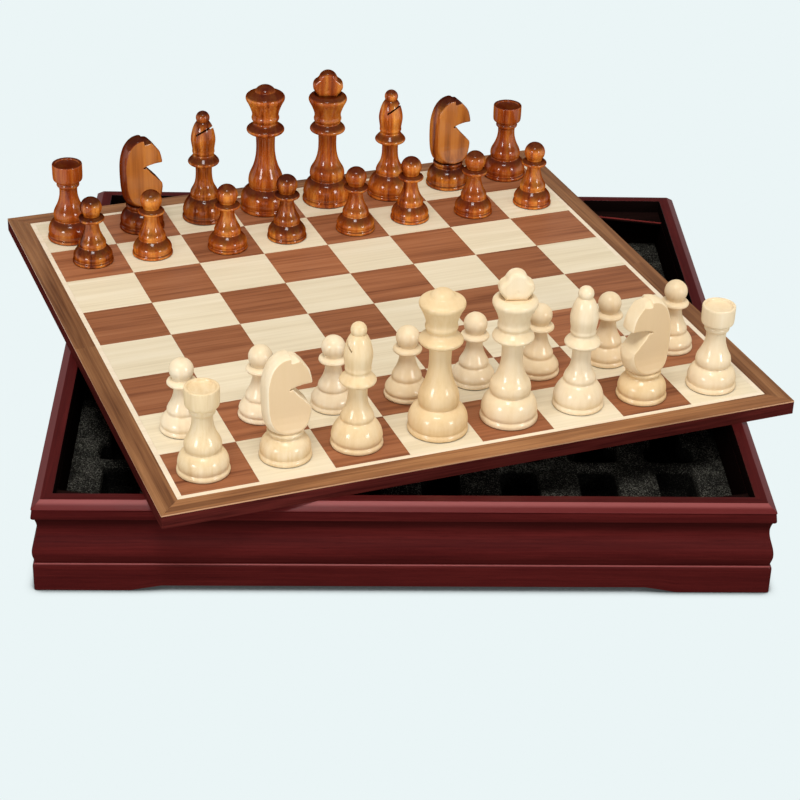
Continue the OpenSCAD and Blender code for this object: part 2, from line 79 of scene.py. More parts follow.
class Value:
    """A number, colour or vector on its way through a material, with arithmetic."""

    def __init__(self, wiring, socket):
        self.wiring = wiring
        self.socket = socket

    def math(self, operation, *others, clamp=False):
        return self.wiring.node("ShaderNodeMath", {"operation": operation, "use_clamp": clamp},
                                dict(enumerate((self, *others))))

    def __add__(self, other):
        return self.math("ADD", other)

    def __mul__(self, other):
        return self.math("MULTIPLY", other)

    def __sub__(self, other):
        return self.math("SUBTRACT", other)

    def clamped(self):
        return self.math("ADD", 0.0, clamp=True)

    def between(self, low, high, out_low=0.0, out_high=1.0):
        """Smooth step from low to high, written out as out_low to out_high."""
        return self.wiring.node("ShaderNodeMapRange", {"interpolation_type": "SMOOTHSTEP"},
                                {0: self, 1: low, 2: high, 3: out_low, 4: out_high})

    def ramp(self, *stops):
        """Colour ramp; each stop is (place, colour)."""
        return self.wiring.node("ShaderNodeValToRGB", {"stops": stops}, {0: self})

    # vectors
    def scaled(self, x, y, z):
        return self.wiring.node("ShaderNodeVectorMath", {"operation": "MULTIPLY"},
                                {0: self, 1: (x, y, z)})

    def moved(self, other):
        return self.wiring.node("ShaderNodeVectorMath", {"operation": "ADD"}, {0: self, 1: other})

    def dot(self, other):
        return self.wiring.node("ShaderNodeVectorMath", {"operation": "DOT_PRODUCT"},
                                {0: self, 1: other}, "Value")

    def floor(self):
        return self.wiring.node("ShaderNodeVectorMath", {"operation": "FLOOR"}, {0: self})

    def axis(self, number):
        return self.wiring.node("ShaderNodeSeparateXYZ", {}, {0: self}, number)

    # textures that take this vector
    def noise(self, scale, detail, rough, twist=0.0, colour=False):
        return self.wiring.node("ShaderNodeTexNoise", {},
                                {"Vector": self, "Scale": scale, "Detail": detail,
                                 "Roughness": rough, "Distortion": twist},
                                "Color" if colour else "Fac")

    def cells(self, scale):
        return self.wiring.node("ShaderNodeTexVoronoi", {}, {"Vector": self, "Scale": scale},
                                "Distance")

    def dice(self, colour=False):
        """A number, or a colour, that is another one for each value of the vector."""
        return self.wiring.node("ShaderNodeTexWhiteNoise", {}, {"Vector": self},
                                "Color" if colour else "Value")


class Wiring:
    """Makes the nodes of one tree; their inputs take numbers, colours or Values.

    Inputs and outputs go by name, or by number where a node has a name twice.
    """

    def __init__(self, tree):
        self.tree = tree

    def node(self, kind, settings, inputs, output=0):
        made = self.tree.nodes.new(kind)
        for key, value in settings.items():
            if key == "stops":
                self.set_stops(made.color_ramp, value)
            else:
                setattr(made, key, value)
        for key, value in inputs.items():
            self.feed(made.inputs[key], value)
        return Value(self, made.outputs[output])

    @staticmethod
    def set_stops(ramp, stops):
        while len(ramp.elements) < len(stops):
            ramp.elements.new(0.5)
        for element, (place, colour) in zip(ramp.elements, stops):
            element.position = place
            element.color = (*colour, 1.0)

    def feed(self, socket, value):
        if isinstance(value, Value):
            self.tree.links.new(value.socket, socket)
        elif socket.type == "RGBA" and len(value) == 3:
            socket.default_value = (*value, 1.0)
        else:
            socket.default_value = value

    def mix(self, factor, a, b, blend="MIX"):
        """Colour a where factor is 0, b where it is 1."""
        # a Mix node has sockets for each type of value: 6, 7 and output 2 are for colours
        return self.node("ShaderNodeMix", {"data_type": "RGBA", "blend_type": blend},
                         {0: factor, 6: a, 7: b}, 2)

    def shaded(self, colour, share):
        """The colour times a number."""
        grey = self.node("ShaderNodeCombineColor", {}, {0: share, 1: share, 2: share})
        return self.mix(1.0, colour, grey, "MULTIPLY")

    def shown_plain(self):
        """1 for what the camera sees, straight, mirrored or through glass, and 0 for light."""
        seen, mirrored, through = (self.node("ShaderNodeLightPath", {}, {}, f"Is {ray} Ray")
                                   for ray in ("Camera", "Glossy", "Transmission"))
        return (seen + mirrored + through).clamped()


class Paint(Wiring):
    """One material: a Principled shader on top of the wiring."""

    def __init__(self, name, **constants):
        self.material = bpy.data.materials.new(name)
        self.material.use_nodes = True
        super().__init__(self.material.node_tree)
        self.shader = self.tree.nodes["Principled BSDF"]
        for socket in self.shader.inputs:
            key = socket.name.lower().replace(" ", "_")
            if key in constants:
                socket.default_value = constants[key]

    def place(self):
        """Position on the object at rest."""
        return self.node("ShaderNodeTexCoord", {}, {}, "Object")

    def normal(self):
        """Which way the face looks, in the object's own axes."""
        return self.node("ShaderNodeTexCoord", {}, {}, "Normal")

    def upness(self):
        """1 on a face that looks straight up, 0 on an upright one."""
        return self.normal().axis(2)

    def grain(self):
        """The piece's own wood coordinates, stored with its mesh."""
        return self.node("ShaderNodeAttribute", {"attribute_name": "grain"}, {}, "Vector")

    def facing(self):
        """0 seen square on, 1 along the edge of the shape, for gloss."""
        return self.node("ShaderNodeLayerWeight", {}, {"Blend": 0.5}, "Facing")

    def bump(self, height, depth, strength):
        normal = self.node("ShaderNodeBump", {}, {"Strength": strength, "Distance": depth,
                                                  "Height": height})
        self.feed(self.shader.inputs["Normal"], normal)

    def finish(self, colour, roughness=None, coat=None):
        self.feed(self.shader.inputs["Base Color"], colour)
        if roughness is not None:
            self.feed(self.shader.inputs["Roughness"], roughness)
        if coat is not None:
            self.feed(self.shader.inputs["Coat Weight"], coat)
        return self.material


def srgb(red, green, blue):
    """A colour as seen on a screen, 0 to 255, as the numbers that light adds up in."""
    def linear(c):
        c /= 255
        return c / 12.92 if c <= 0.04045 else ((c + 0.055) / 1.055) ** 2.4
    return linear(red), linear(green), linear(blue)


PALE = srgb(235, 245, 246)  # of the sweep behind and under the object


# ---------------------------------------------------------------- finishes

def chest_finish():
    """Dark cherry red stain; painted highlight on upward slopes, painted shade below; black inside.
    """
    p = Paint("chest_cherry", coat_roughness=0.28, coat_ior=1.5, specular_ior_level=0.0)
    wood = p.grain()
    figure = wood.scaled(7, 120, 120).noise(1, 4, 0.55, 0.6)
    streak = wood.scaled(22, 900, 900).noise(1, 3, 0.6)
    pores = wood.scaled(90, 2600, 2600).noise(1, 2, 0.5).between(0.60, 0.72)
    tone = figure * 0.4 + streak * 0.4 + 0.1
    colour = tone.ramp((0.28, srgb(54, 14, 15)), (0.50, srgb(70, 21, 20)), (0.74, srgb(90, 30, 28)))
    colour = p.mix(pores * 0.3, colour, srgb(44, 11, 11))
    up = p.upness()
    height = p.place().axis(2)
    # painted highlight: faces that slope up like the rim's facet are lighter
    painted_highlight = up.between(0.55, 0.7) * up.between(0.86, 0.96, 1.0, 0.0)
    on_rim = height.between(CHEST_H - 2.1 * MM, CHEST_H - 0.8 * MM)
    band = on_rim + height.math("LESS_THAN", PLINTH_H + 0.2 * MM)
    # painted highlight, brighter, where the rim's facet and the plinth's shoulder face the front
    shine = band * p.normal().axis(1).between(-0.3, -0.5)
    colour = p.mix(painted_highlight * 0.85, colour, p.mix(shine, srgb(94, 34, 33), srgb(138, 72, 70)))
    # painted shade: faces that look down are darker, most under the rim
    under = height.between(PLINTH_H + 6 * MM, RIM_Z - 4 * MM, 0.3, 0.85)
    colour = p.mix(up.between(-0.4, 0.3, 1.0, 0.0) * under, colour, srgb(34, 9, 8))
    around = p.place().moved((-MID.x, -MID.y, 0))
    out = around.axis(0).math("ABSOLUTE").math("MAXIMUM", around.axis(1).math("ABSOLUTE"))
    inside = out.math("LESS_THAN", OPENING + 0.2 * MM)
    colour = p.mix(inside, colour, srgb(16, 8, 7))
    p.bump(streak * 0.6 - pores * 0.8, 0.00012, 0.6)
    return p.finish(colour, streak * 0.14 + 0.34, up.between(0.15, 0.6, 0.0, 0.24))


def board_place(p):
    """Position on the board: x from the a file to the h file, y from rank 1 to rank 8."""
    return p.node("ShaderNodeVectorRotate", {"rotation_type": "Z_AXIS"},
                  {"Vector": p.place(), "Angle": -BOARD_TURN})


def veneer_wood(p, place, dark, mid, light, contrast=1.0):
    """Plain sliced veneer with its grain along x: broad bands, fine streaks and short pores."""
    bands = place.scaled(7, 150, 0).noise(1, 3, 0.55, 0.5)
    streak = place.scaled(14, 620, 0).noise(1, 4, 0.6)
    pores = place.scaled(110, 2600, 0).noise(1, 2, 0.5).between(0.62, 0.74)
    tone = (bands - 0.5) * (1.1 * contrast) + (streak - 0.5) * (0.9 * contrast) + 0.5
    colour = tone.ramp((0.25, dark), (0.5, mid), (0.75, light))
    colour = p.mix(pores * (0.35 * contrast), colour, dark)
    p.bump(streak - pores, 0.00005, 0.35)
    return colour


def square_veneer(name, dark, mid, light, spread, contrast):
    """Veneer squares, each cut from another leaf, so tone and figure change at every edge.

    spread is how far the squares' tones part, up and down.
    """
    p = Paint(name, specular_ior_level=0.12, roughness=0.42)
    place = board_place(p)
    number = place.scaled(1 / CELL, 1 / CELL, 0).floor()
    leaf = number.dice(colour=True)
    colour = veneer_wood(p, place.moved(leaf.scaled(3, 3, 0)), dark, mid, light, contrast)
    shade = number.dice().between(0, 1, 1 - spread, 1 + spread)
    return p.finish(p.shaded(colour, shade))


def border_veneer():
    """Walnut strips: the grain runs along each strip, and they meet in mitres."""
    p = Paint("walnut_border", specular_ior_level=0.12, roughness=0.42)
    place = board_place(p)
    across = place.axis(0).math("ABSOLUTE").math("GREATER_THAN", place.axis(1).math("ABSOLUTE"))
    side = p.node("ShaderNodeCombineXYZ", {}, {0: place.axis(1), 1: place.axis(0)})
    # of a Mix node, sockets 4, 5 and output 1 are for vectors
    along = p.node("ShaderNodeMix", {"data_type": "VECTOR"}, {0: across, 4: place, 5: side}, 1)
    strip = p.node("ShaderNodeCombineXYZ", {}, {0: across, 1: place.axis(1).math("SIGN")})
    leaf = strip.dice(colour=True)
    colour = veneer_wood(p, along.moved(leaf.scaled(3, 3, 0)),
                         srgb(102, 63, 38), srgb(138, 92, 58), srgb(166, 117, 76))
    colour = p.shaded(colour, across * -0.2 + 1.0)
    return p.finish(p.mix(p.upness().between(0.3, 0.7, 0.7, 0.0), colour, srgb(212, 162, 124)))


def line_veneer():
    """The pale line between the border and the squares."""
    p = Paint("maple_line", specular_ior_level=0.12, roughness=0.42)
    return p.finish(veneer_wood(p, board_place(p), srgb(216, 196, 164), srgb(230, 213, 186),
                                srgb(238, 225, 202), 0.5))


def edging_finish():
    """Dark red stained edge of the board, lacquered."""
    p = Paint("edging_dark_red", coat_roughness=0.25, specular_ior_level=0.0)
    place = p.place()
    streak = place.scaled(30, 30, 900).noise(1, 4, 0.6)
    colour = streak.ramp((0.3, srgb(54, 18, 16)), (0.7, srgb(86, 33, 29)))
    p.bump(streak, 0.00008, 0.4)
    return p.finish(colour, streak * 0.1 + 0.36, p.upness().between(0.15, 0.6, 0.0, 0.6))


def turned_wood(name, gloss, stops, contrast, upward_colour, upward_share, warm, warm_share, face=None):
    """Turned wood under gloss lacquer: fibres upright, and another colour on faces that look up.

    stops are those of the wood's ramp, warm is the colour of broad patches, and each share says
    how much of a colour there is. face, if given, is (angle of the milled cheeks, their colour,
    its share).
    """
    p = Paint(name, coat_weight=1.0, coat_roughness=gloss, coat_ior=1.5, specular_ior_level=0.0)
    wood = p.place()
    swirl = wood.scaled(30, 30, 8).noise(1, 2, 0.5, colour=True)
    bent = wood.moved(swirl.scaled(0.012, 0.012, 0.002))
    ring = bent.scaled(230, 110, 9).noise(1, 2, 0.5)
    streak = wood.scaled(900, 900, 26).noise(1, 3, 0.6)
    fine = wood.scaled(2400, 2400, 110).noise(1, 2, 0.5).between(0.58, 0.74)
    tone = (ring - 0.5) * contrast + (streak - 0.5) * (contrast * 0.35) + 0.5
    colour = tone.ramp(*stops)
    colour = p.mix(fine * (0.3 * contrast), colour, stops[0][1])
    patch = wood.scaled(19, 19, 6).noise(1, 1, 0.5).between(0.42, 0.62, 0.0, warm_share)
    colour = p.mix(patch, colour, warm)
    if face:
        angle, cheek, share = face
        straight = p.normal().dot((-math.sin(angle), math.cos(angle), 0)).math("ABSOLUTE")
        colour = p.mix(straight.between(0.88, 0.97) * (tone * 0.7 + 0.4) * share, colour, cheek)
    # faces that look up take the upward colour, varying with the rings
    upward_mask = (p.upness() + (ring - 0.5) * 0.5).between(0.15, 0.8, 0.0, upward_share)
    colour = p.mix(upward_mask, colour, upward_colour)
    return p.finish(colour, streak * 0.1 + 0.36, p.facing().between(0.25, 0.62, 1.0, 0.0))


def foam_finish():
    """Charcoal open foam: fine cells, lighter flecks where the cells catch the light."""
    p = Paint("foam_charcoal", roughness=0.95, specular_ior_level=0.0)
    place = p.place()
    cell = place.cells(900)
    fleck = place.noise(1500, 2, 0.7)
    worn = place.noise(60, 3, 0.6)
    tone = fleck * 0.75 + worn * 0.25
    colour = tone.ramp((0.36, srgb(12, 12, 11)), (0.52, srgb(34, 33, 30)),
                       (0.66, srgb(112, 110, 100)))
    p.bump(fleck + cell * 0.5, 0.0006, 0.9)
    # painted shade: the foam turns nearly black low in the pockets
    deep = place.axis(2).between(FOAM_TOP - 5 * MM, FOAM_TOP - 2 * MM, 0.85, 0.0)
    return p.finish(p.mix(deep, colour, srgb(6, 6, 6)))


def felt_finish():
    """Thin dark felt under each man."""
    p = Paint("felt_brown", roughness=0.95, specular_ior_level=0.0)
    nap = p.place().noise(2500, 3, 0.7)
    p.bump(nap, 0.0002, 0.6)
    return p.finish(nap.ramp((0.3, srgb(26, 14, 8)), (0.7, srgb(48, 28, 16))))


def rest_finish():
    """Corner rests blackened like the inside of the chest, with a painted highlight near the top.
    """
    p = Paint("rest_black", roughness=0.8, specular_ior_level=0.0)
    streak = p.place().scaled(40, 400, 40).noise(1, 3, 0.6)
    colour = streak.ramp((0.3, srgb(14, 8, 7)), (0.7, srgb(30, 16, 14)))
    # painted highlight: a red line near the top of the upright faces
    edge = p.place().axis(2).between(REST_TOP - 1.2 * MM, REST_TOP - 0.3 * MM)
    edge = edge * p.upness().between(0.2, 0.5, 1.0, 0.0)
    p.bump(streak, 0.0001, 0.4)
    return p.finish(p.mix(edge, colour, srgb(150, 60, 56)))


def plywood_finish():
    """Bare sheet wood, for the two sheets that are hidden."""
    p = Paint("plywood_bare", roughness=0.7, specular_ior_level=0.2)
    place = p.place()
    streak = place.scaled(8, 260, 0).noise(1, 4, 0.6)
    colour = streak.ramp((0.3, srgb(140, 108, 74)), (0.7, srgb(176, 142, 102)))
    p.bump(streak, 0.0001, 0.4)
    return p.finish(colour)


def floor_finish():
    """Pale sweep, evenly bright, with a painted shadow where the object stands close to it."""
    p = Paint("floor_pale")
    # painted shadow: the glow is darker where ambient occlusion finds the object near
    open_sky = p.node("ShaderNodeAmbientOcclusion", {"samples": 12}, {"Distance": 0.006}, "AO")
    shares = ((0.45, 0.06), (0.55, 0.3), (0.65, 0.62), (0.75, 0.86), (0.88, 0.97), (1, 1))
    shade = open_sky.ramp(*[(place, tuple(c * share for c in PALE)) for place, share in shares])
    glow = p.node("ShaderNodeEmission", {}, {"Color": shade, "Strength": 1.0})
    matt = p.node("ShaderNodeBsdfDiffuse", {}, {"Color": PALE})
    both = p.node("ShaderNodeMixShader", {}, {0: p.shown_plain(), 1: matt, 2: glow})
    p.feed(p.tree.nodes["Material Output"].inputs["Surface"], both)
    return p.material


# ---------------------------------------------------------------- mesh helpers

def add_piece(name, vertices, faces, material, grain=None, sharp=40):
    """A mesh object at the origin, smooth up to the sharp angle, with its wood coordinates."""
    mesh = bpy.data.meshes.new(name)
    mesh.from_pydata([tuple(v) for v in vertices], [], [tuple(f) for f in faces])
    if grain is not None:
        stored = mesh.attributes.new("grain", "FLOAT_VECTOR", "POINT")
        stored.data.foreach_set("vector", np.asarray(grain, float).ravel())
    bm = bmesh.new()
    bm.from_mesh(mesh)
    bmesh.ops.remove_doubles(bm, verts=bm.verts, dist=0.5e-6)
    bmesh.ops.recalc_face_normals(bm, faces=bm.faces)
    bm.to_mesh(mesh)
    bm.free()
    mesh.shade_smooth()
    mesh.set_sharp_from_angle(angle=math.radians(sharp))
    mesh.materials.append(material)
    made = bpy.data.objects.new(name, mesh)
    bpy.context.scene.collection.objects.link(made)
    return made


def stand_for(piece, body, *nodes):
    """The piece rides on the body and takes the place of these nodes."""
    slot = next(part["material_slot"] for part in frame["record"]["subparts"]
                if part["node"] == nodes[0])
    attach(piece, body)
    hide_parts(*nodes)
    return piece


def cut_corners(points, rounds=2):
    """Rounds an open line of points by cutting its corners; a point given twice stays sharp."""
    for _ in range(rounds):
        made = [points[0]]
        for a, b in zip(points, points[1:]):
            a, b = np.array(a, float), np.array(b, float)
            made.append(tuple(a * 0.75 + b * 0.25))
            made.append(tuple(a * 0.25 + b * 0.75))
        made.append(points[-1])
        points = made
    return points


def eased(outline, radius):
    """A closed outline with every corner of over 25 degrees rounded to the radius."""
    made = []
    count = len(outline)
    for i, here in enumerate(outline):
        here = np.array(here, float)
        back = np.array(outline[i - 1], float) - here
        on = np.array(outline[(i + 1) % count], float) - here
        reach = min(np.linalg.norm(back), np.linalg.norm(on)) * 0.45
        back /= np.linalg.norm(back)
        on /= np.linalg.norm(on)
        turn = math.pi - math.acos(max(-1, min(1, float(back @ on))))
        if turn < math.radians(25):
            made.append(tuple(here))
            continue
        cut = min(radius * math.tan(turn / 2), reach)
        for t in (0, 0.33, 0.67, 1):
            a, b = here + back * cut, here + on * cut
            made.append(tuple((1 - t) ** 2 * a + 2 * t * (1 - t) * here + t ** 2 * b))
    return made


# ---------------------------------------------------------------- carved solids

def outline_distance(px, py, outline):
    """Distance from points to a closed outline, negative inside it."""
    nearest = np.full(px.shape, np.inf)
    inside = np.zeros(px.shape, bool)
    for (ax, ay), (bx, by) in zip(outline, outline[1:] + outline[:1]):
        ex, ey = bx - ax, by - ay
        t = np.clip(((px - ax) * ex + (py - ay) * ey) / (ex * ex + ey * ey), 0, 1)
        nearest = np.minimum(nearest, np.hypot(px - ax - t * ex, py - ay - t * ey))
        if ey:
            inside ^= ((ay > py) != (by > py)) & (px < ax + (py - ay) * ex / ey)
    return np.where(inside, -nearest, nearest)


def overlap(a, b, r):
    """Distance to what two solids share, with the edge between them rounded to r."""
    return np.minimum(-r, np.maximum(a, b)) + np.hypot(np.maximum(a + r, 0), np.maximum(b + r, 0))


def grid(lo, hi, step):
    """The x, y and z of points that fill a box."""
    return np.meshgrid(*[np.arange(a, b + step, step) for a, b in zip(lo, hi)], indexing="ij")


def skin(field, lo, step):
    """Vertices and faces of the surface where a distance on a grid is zero."""
    size = tuple(n - 1 for n in field.shape)
    total, count = np.zeros((*size, 3)), np.zeros(size)
    number = np.zeros(size, int)
    faces = []
    # the middle of the places where a cell's edges cross the surface is its vertex
    for axis in range(3):
        u, v = [k for k in range(3) if k != axis]
        for du in (0, 1):
            for dv in (0, 1):
                near = [0, 0, 0]
                near[u], near[v] = du, dv
                far = list(near)
                far[axis] = 1
                a, b = (field[tuple(slice(o, o + n) for o, n in zip(corner, size))]
                        for corner in (near, far))
                cross = (a < 0) != (b < 0)
                along = np.divide(a, a - b, out=np.zeros(size), where=cross)
                for k in range(3):
                    total[..., k] += np.where(cross, along if k == axis else near[k], 0)
                count += cross
    used = count > 0
    number[used] = np.arange(used.sum())
    places = (np.argwhere(used) + total[used] / count[used][:, None]) * step + np.array(lo)
    # each edge that crosses it makes a face of the four cells around that edge
    for axis in range(3):
        u, v = [k for k in range(3) if k != axis]
        a = np.take(field, range(field.shape[axis] - 1), axis)
        b = np.take(field, range(1, field.shape[axis]), axis)
        for spot in np.argwhere((a < 0) != (b < 0)):
            ring = []
            for du, dv in ((1, 1), (0, 1), (0, 0), (1, 0)):
                cell = list(spot)
                cell[u] -= du
                cell[v] -= dv
                ring.append(number[tuple(cell)])
            faces.append(ring)
    return places, faces


def stand_carved(name, body, node, shape, foot, turn, material):
    """Places a carved solid, drawn in mm from its foot, turned about its upright axis."""
    places, faces = shape
    swing = Matrix.Rotation(turn, 3, "Z")
    vertices = [foot + swing @ (Vector(p) * MM) for p in places]
    return stand_for(add_piece(name, vertices, faces, material, sharp=38), body, node)


def saw(piece, cutter):
    """Takes the cutter out of the piece, and leaves no modifier behind."""
    cut = piece.modifiers.new("saw", "BOOLEAN")
    cut.object = cutter
    cut.solver = "EXACT"
    bpy.context.view_layer.update()
    sawn = piece.evaluated_get(bpy.context.evaluated_depsgraph_get())
    shape = bpy.data.meshes.new_from_object(sawn)
    piece.modifiers.clear()
    piece.data = shape
    bpy.data.objects.remove(cutter)


# ---------------------------------------------------------------- chest

def rim_outline():
    """A flat land on top, a facet that slopes outwards, and an upright face with a soft lip."""
    land, drop, lip_r = 5.4 * MM, 3.6 * MM, 0.5 * MM
    corner = [(FASCIA - lip_r + lip_r * math.cos(a), RIM_Z + lip_r - lip_r * math.sin(a))
              for a in np.linspace(0, math.pi / 2, 6)]
    return eased([(OPENING, RIM_Z), (OPENING, CHEST_H), (OPENING + land, CHEST_H),
                  (FASCIA, CHEST_H - drop)], 0.5 * MM) + corner


def wall_outline():
    """Shoulder on the plinth, bulge, then the cove that runs up under the rim."""
    cove, lip, shoulder = 2.6 * MM, 1.5 * MM, 0.9 * MM
    tall = RIM_Z - PLINTH_H
    bulge_z, cove_z = PLINTH_H + 0.22 * tall, PLINTH_H + 0.78 * tall
    points = [(OPENING, PLINTH_H)]
    for t in np.linspace(0, 1, 12, endpoint=False):
        points.append((FASCIA - shoulder + (shoulder + BULGE) * math.sin(t * math.pi / 2),
                       PLINTH_H + (bulge_z - PLINTH_H) * t))
    for t in np.linspace(0, 1, 24, endpoint=False):
        ease = (1 - math.cos(math.pi * t)) / 2
        points.append((FASCIA + BULGE - (BULGE + cove) * ease, bulge_z + (cove_z - bulge_z) * t))
    for t in np.linspace(0, 1, 12):
        points.append((FASCIA - cove + (cove - lip) * (1 - math.cos(t * math.pi / 2)),
                       cove_z + (RIM_Z - cove_z) * t))
    return points + [(OPENING, RIM_Z)]


def plinth_outline():
    """Upright, with a soft shoulder."""
    out, soft_h, soft_w = FASCIA + BULGE, 2.2 * MM, 1.6 * MM
    top = [(out - soft_w * (1 - math.cos(a)), PLINTH_H - soft_h * (1 - math.sin(a)))
           for a in np.linspace(0, math.pi / 2, 8)]
    return [(OPENING, 0), (out - 0.3 * MM, 0), (out, 0.4 * MM)] + top + [(OPENING, PLINTH_H)]


def moulding(name, outline, quarter, material, foot=None):
    """One side: an outline of (distance out, height) run along the side between two mitres.

    foot, if given, is (height, half width of the flat, half width at the floor) of the cut-out.
    """
    # stations along the side: half of each round corner, and the bends of the cut-out
    arcs = np.radians(np.linspace(0, 45, 6))
    stations = [("arc", -a) for a in arcs[::-1]]
    if foot:
        rise, flat, floor = foot
        stations += [("run", x) for x in (-floor, -flat, flat, floor)]
    # a plain side has no station where its right corner starts, which is 0.02 mm off straight
    stations += [("arc", a) for a in (arcs if foot else arcs[1:])]
    turn = Matrix.Rotation(quarter * math.pi / 2, 3, "Z")
    lengths = np.cumsum([0] + [math.dist(a, b) for a, b in zip(outline, outline[1:])])
    chance = random.Random(name)
    shift = Vector((chance.random(), chance.random(), chance.random()))
    vertices, grain, faces = [], [], []
    for kind, value in stations:
        for (out, z), run in zip(outline, lengths):
            r = min(CORNER_R, max(0.0, out - (FASCIA - CORNER_R)))
            if kind == "run":
                x, y = value, -out
            else:
                x = math.copysign(out - r, value) + r * math.sin(value)
                y = -(out - r) - r * math.cos(value)
            if foot:
                z = max(z, rise * min(1, max(0, (floor - abs(x)) / (floor - flat))))
            vertices.append(turn @ Vector((x, y, z)) + Vector((MID.x, MID.y, 0)))
            grain.append(Vector((x, run, 0)) + shift)
    width = len(outline)
    for s in range(len(stations) - 1):
        for i in range(width):
            j = (i + 1) % width
            faces.append((s * width + i, s * width + j, (s + 1) * width + j, (s + 1) * width + i))
    last = (len(stations) - 1) * width
    faces.append(tuple(range(width)))
    faces.append(tuple(range(last + width - 1, last - 1, -1)))
    return add_piece(name, vertices, faces, material, grain, sharp=32)


def build_chest(cherry):
    """Three rings of mouldings, one on top of the other; the lowest is cut out between its feet."""
    foot = (3 * MM, FASCIA - 60 * MM, FASCIA - 45 * MM)
    for quarter, side in enumerate(("front", "right", "back", "left")):
        stand_for(moulding(f"rim_moulding_{side}", rim_outline(), quarter, cherry),
                  "chest", f"rim_{side}")
        stand_for(moulding(f"wall_moulding_{side}", wall_outline(), quarter, cherry),
                  "chest", f"wall_{side}")
        stand_for(moulding(f"plinth_moulding_{side}", plinth_outline(), quarter, cherry, foot),
                  "chest", f"plinth_{side}")


# ---------------------------------------------------------------- foam

def rounded_box(x, y, cx, cy, half_w, half_l, r):
    """Distance to a rectangle with round corners, negative inside."""
    dx = np.abs(x - cx) - (half_w - r)
    dy = np.abs(y - cy) - (half_l - r)
    return np.hypot(np.maximum(dx, 0), np.maximum(dy, 0)) + np.minimum(np.maximum(dx, dy), 0) - r


def pocket_map(x, y, half):
    """Distance to the nearest pocket of the foam, negative inside one, all in mm.

    A pocket is a slot as long as the man, and a wider box for its foot. From the front: rooks
    and knights, pawns in pairs with their feet apart, and the tall men.
    """
    margin, wall, corner = 12, 6, 4
    short, pair, foot = 58.4, 81.2, 18
    tall = (83.8, 68.6, 68.6, 79.3, 79.3, 68.6, 68.6, 83.8)
    pitch = (half - wall) / 4
    row1 = margin - half
    row2 = row1 + short + wall
    row3 = row2 + pair + wall
    nearest = np.full(x.shape, np.inf)
    for column in range(8):
        cx = (column - 3.5) * pitch
        boxes = [(row1, 22, 28.2), (row1, short, 18.4),
                 (row2, foot, 25.2), (row2, pair, 16.4), (row2 + pair - foot, foot, 25.2),
                 (row3, 24, 32.4), (row3, tall[column], 23.4)]
        for start, length, width in boxes:
            d = rounded_box(x, y, cx, start + length / 2, width / 2, length / 2, corner)
            nearest = np.minimum(nearest, d)
    return nearest


def build_foam(material):
    """The insert as a relief: pockets with soft lips, and a surface that is never quite flat."""
    lo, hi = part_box("foam_insert")
    half = (hi.x - lo.x) / 2 / MM
    depth = (hi.z - lo.z) / MM - 0.2
    slope = 1.8  # width of a pocket's soft wall
    sag = 0.4  # how far the foam sinks along the chest's sides
    count = 250
    line = np.linspace(-half, half, count)
    x, y = np.meshgrid(line, line, indexing="ij")
    d = pocket_map(x, y, half)
    # the lips of the pockets sink, and the whole surface is rough
    fall = np.clip(-d / slope + 0.35, 0, 1)
    lip = 0.7 * np.exp(-np.maximum(d, 0) / 1.2) * (d > -slope)
    rough = np.random.default_rng(4).normal(0, 0.12, x.shape)
    z = np.maximum(-depth * fall * fall * (3 - 2 * fall) - lip - np.abs(rough), -depth)
    z[0, :] = z[-1, :] = z[:, 0] = z[:, -1] = -sag
    top = np.stack([x * MM + MID.x, y * MM + MID.y, z * MM + hi.z], -1).reshape(-1, 3)
    faces = []
    for i in range(count - 1):
        row = np.arange(count - 1) + i * count
        faces += list(zip(row, row + count, row + count + 1, row + 1))
    # the sides and the underside, from the points along the relief's edge
    edge = ([(i, 0) for i in range(count)]
            + [(count - 1, j) for j in range(1, count)]
            + [(i, count - 1) for i in range(count - 2, -1, -1)]
            + [(0, j) for j in range(count - 2, 0, -1)])
    ring = [i * count + j for i, j in edge]
    base = len(top)
    low = [(top[k][0], top[k][1], lo.z) for k in ring]
    for n in range(len(ring)):
        m = (n + 1) % len(ring)
        faces.append((ring[n], base + n, base + m, ring[m]))
    faces.append(tuple(base + n for n in range(len(ring))))
    return stand_for(add_piece("foam", [*top, *low], faces, material, sharp=60),
                     "chest", "foam_insert")


# ---------------------------------------------------------------- chessmen

# Outlines to turn, as (radius, height) in mm. A foot with a quirk above it, a bulge, a tuck, a
# bell that narrows to the stem, a collar, and the head.
PAWN = [(11.1, 0), (11.3, 0.4), (11.4, 1.1), (11.2, 1.8), (10.8, 2.3), (10.6, 2.8), (10.8, 3.4),
        (10.95, 4.3), (10.7, 5.4), (10, 6.7), (9.1, 7.9), (8.2, 8.9), (7.6, 9.5), (7.4, 10.1),
        (7.6, 10.7), (7.6, 11.7), (7.1, 13.1), (6.1, 14.8), (5.2, 16.8), (4.5, 19), (4.05, 21.4),
        (3.95, 23.4), (4.1, 24.8), (6.6, 25), (7.3, 25.6), (7.35, 26.5), (6.6, 27.4), (4.6, 28.1)]
ROOK = [(12.5, 0), (12.8, 0.4), (12.9, 1.2), (12.7, 2), (12.2, 2.6), (12, 3.1), (12.2, 3.8),
        (12.4, 4.8), (12.3, 6.2), (11.8, 8), (11, 9.5), (9.9, 10.8), (9, 11.5), (8.5, 12.1),
        (8.6, 12.7), (8.95, 13.4), (9.1, 14.6), (8.95, 16.2), (8.4, 17.7), (7.6, 19.2), (6.8, 20.8),
        (6.1, 22.6), (5.6, 24.3), (5.25, 25.9), (5.05, 27.6), (5, 29.4), (5.15, 31.4), (5.9, 31.9),
        (6.4, 32.6), (6.4, 33.5), (6, 34.2), (6.2, 34.9), (7.6, 35.6), (8.15, 36.2), (8.35, 37.2),
        (8.45, 40), (8.45, 44.9), (8.35, 45.5), (8, 45.8), (7.3, 45.8), (6.9, 45.5), (6.6, 44.7),
        (5.6, 44.2), (3, 44)]
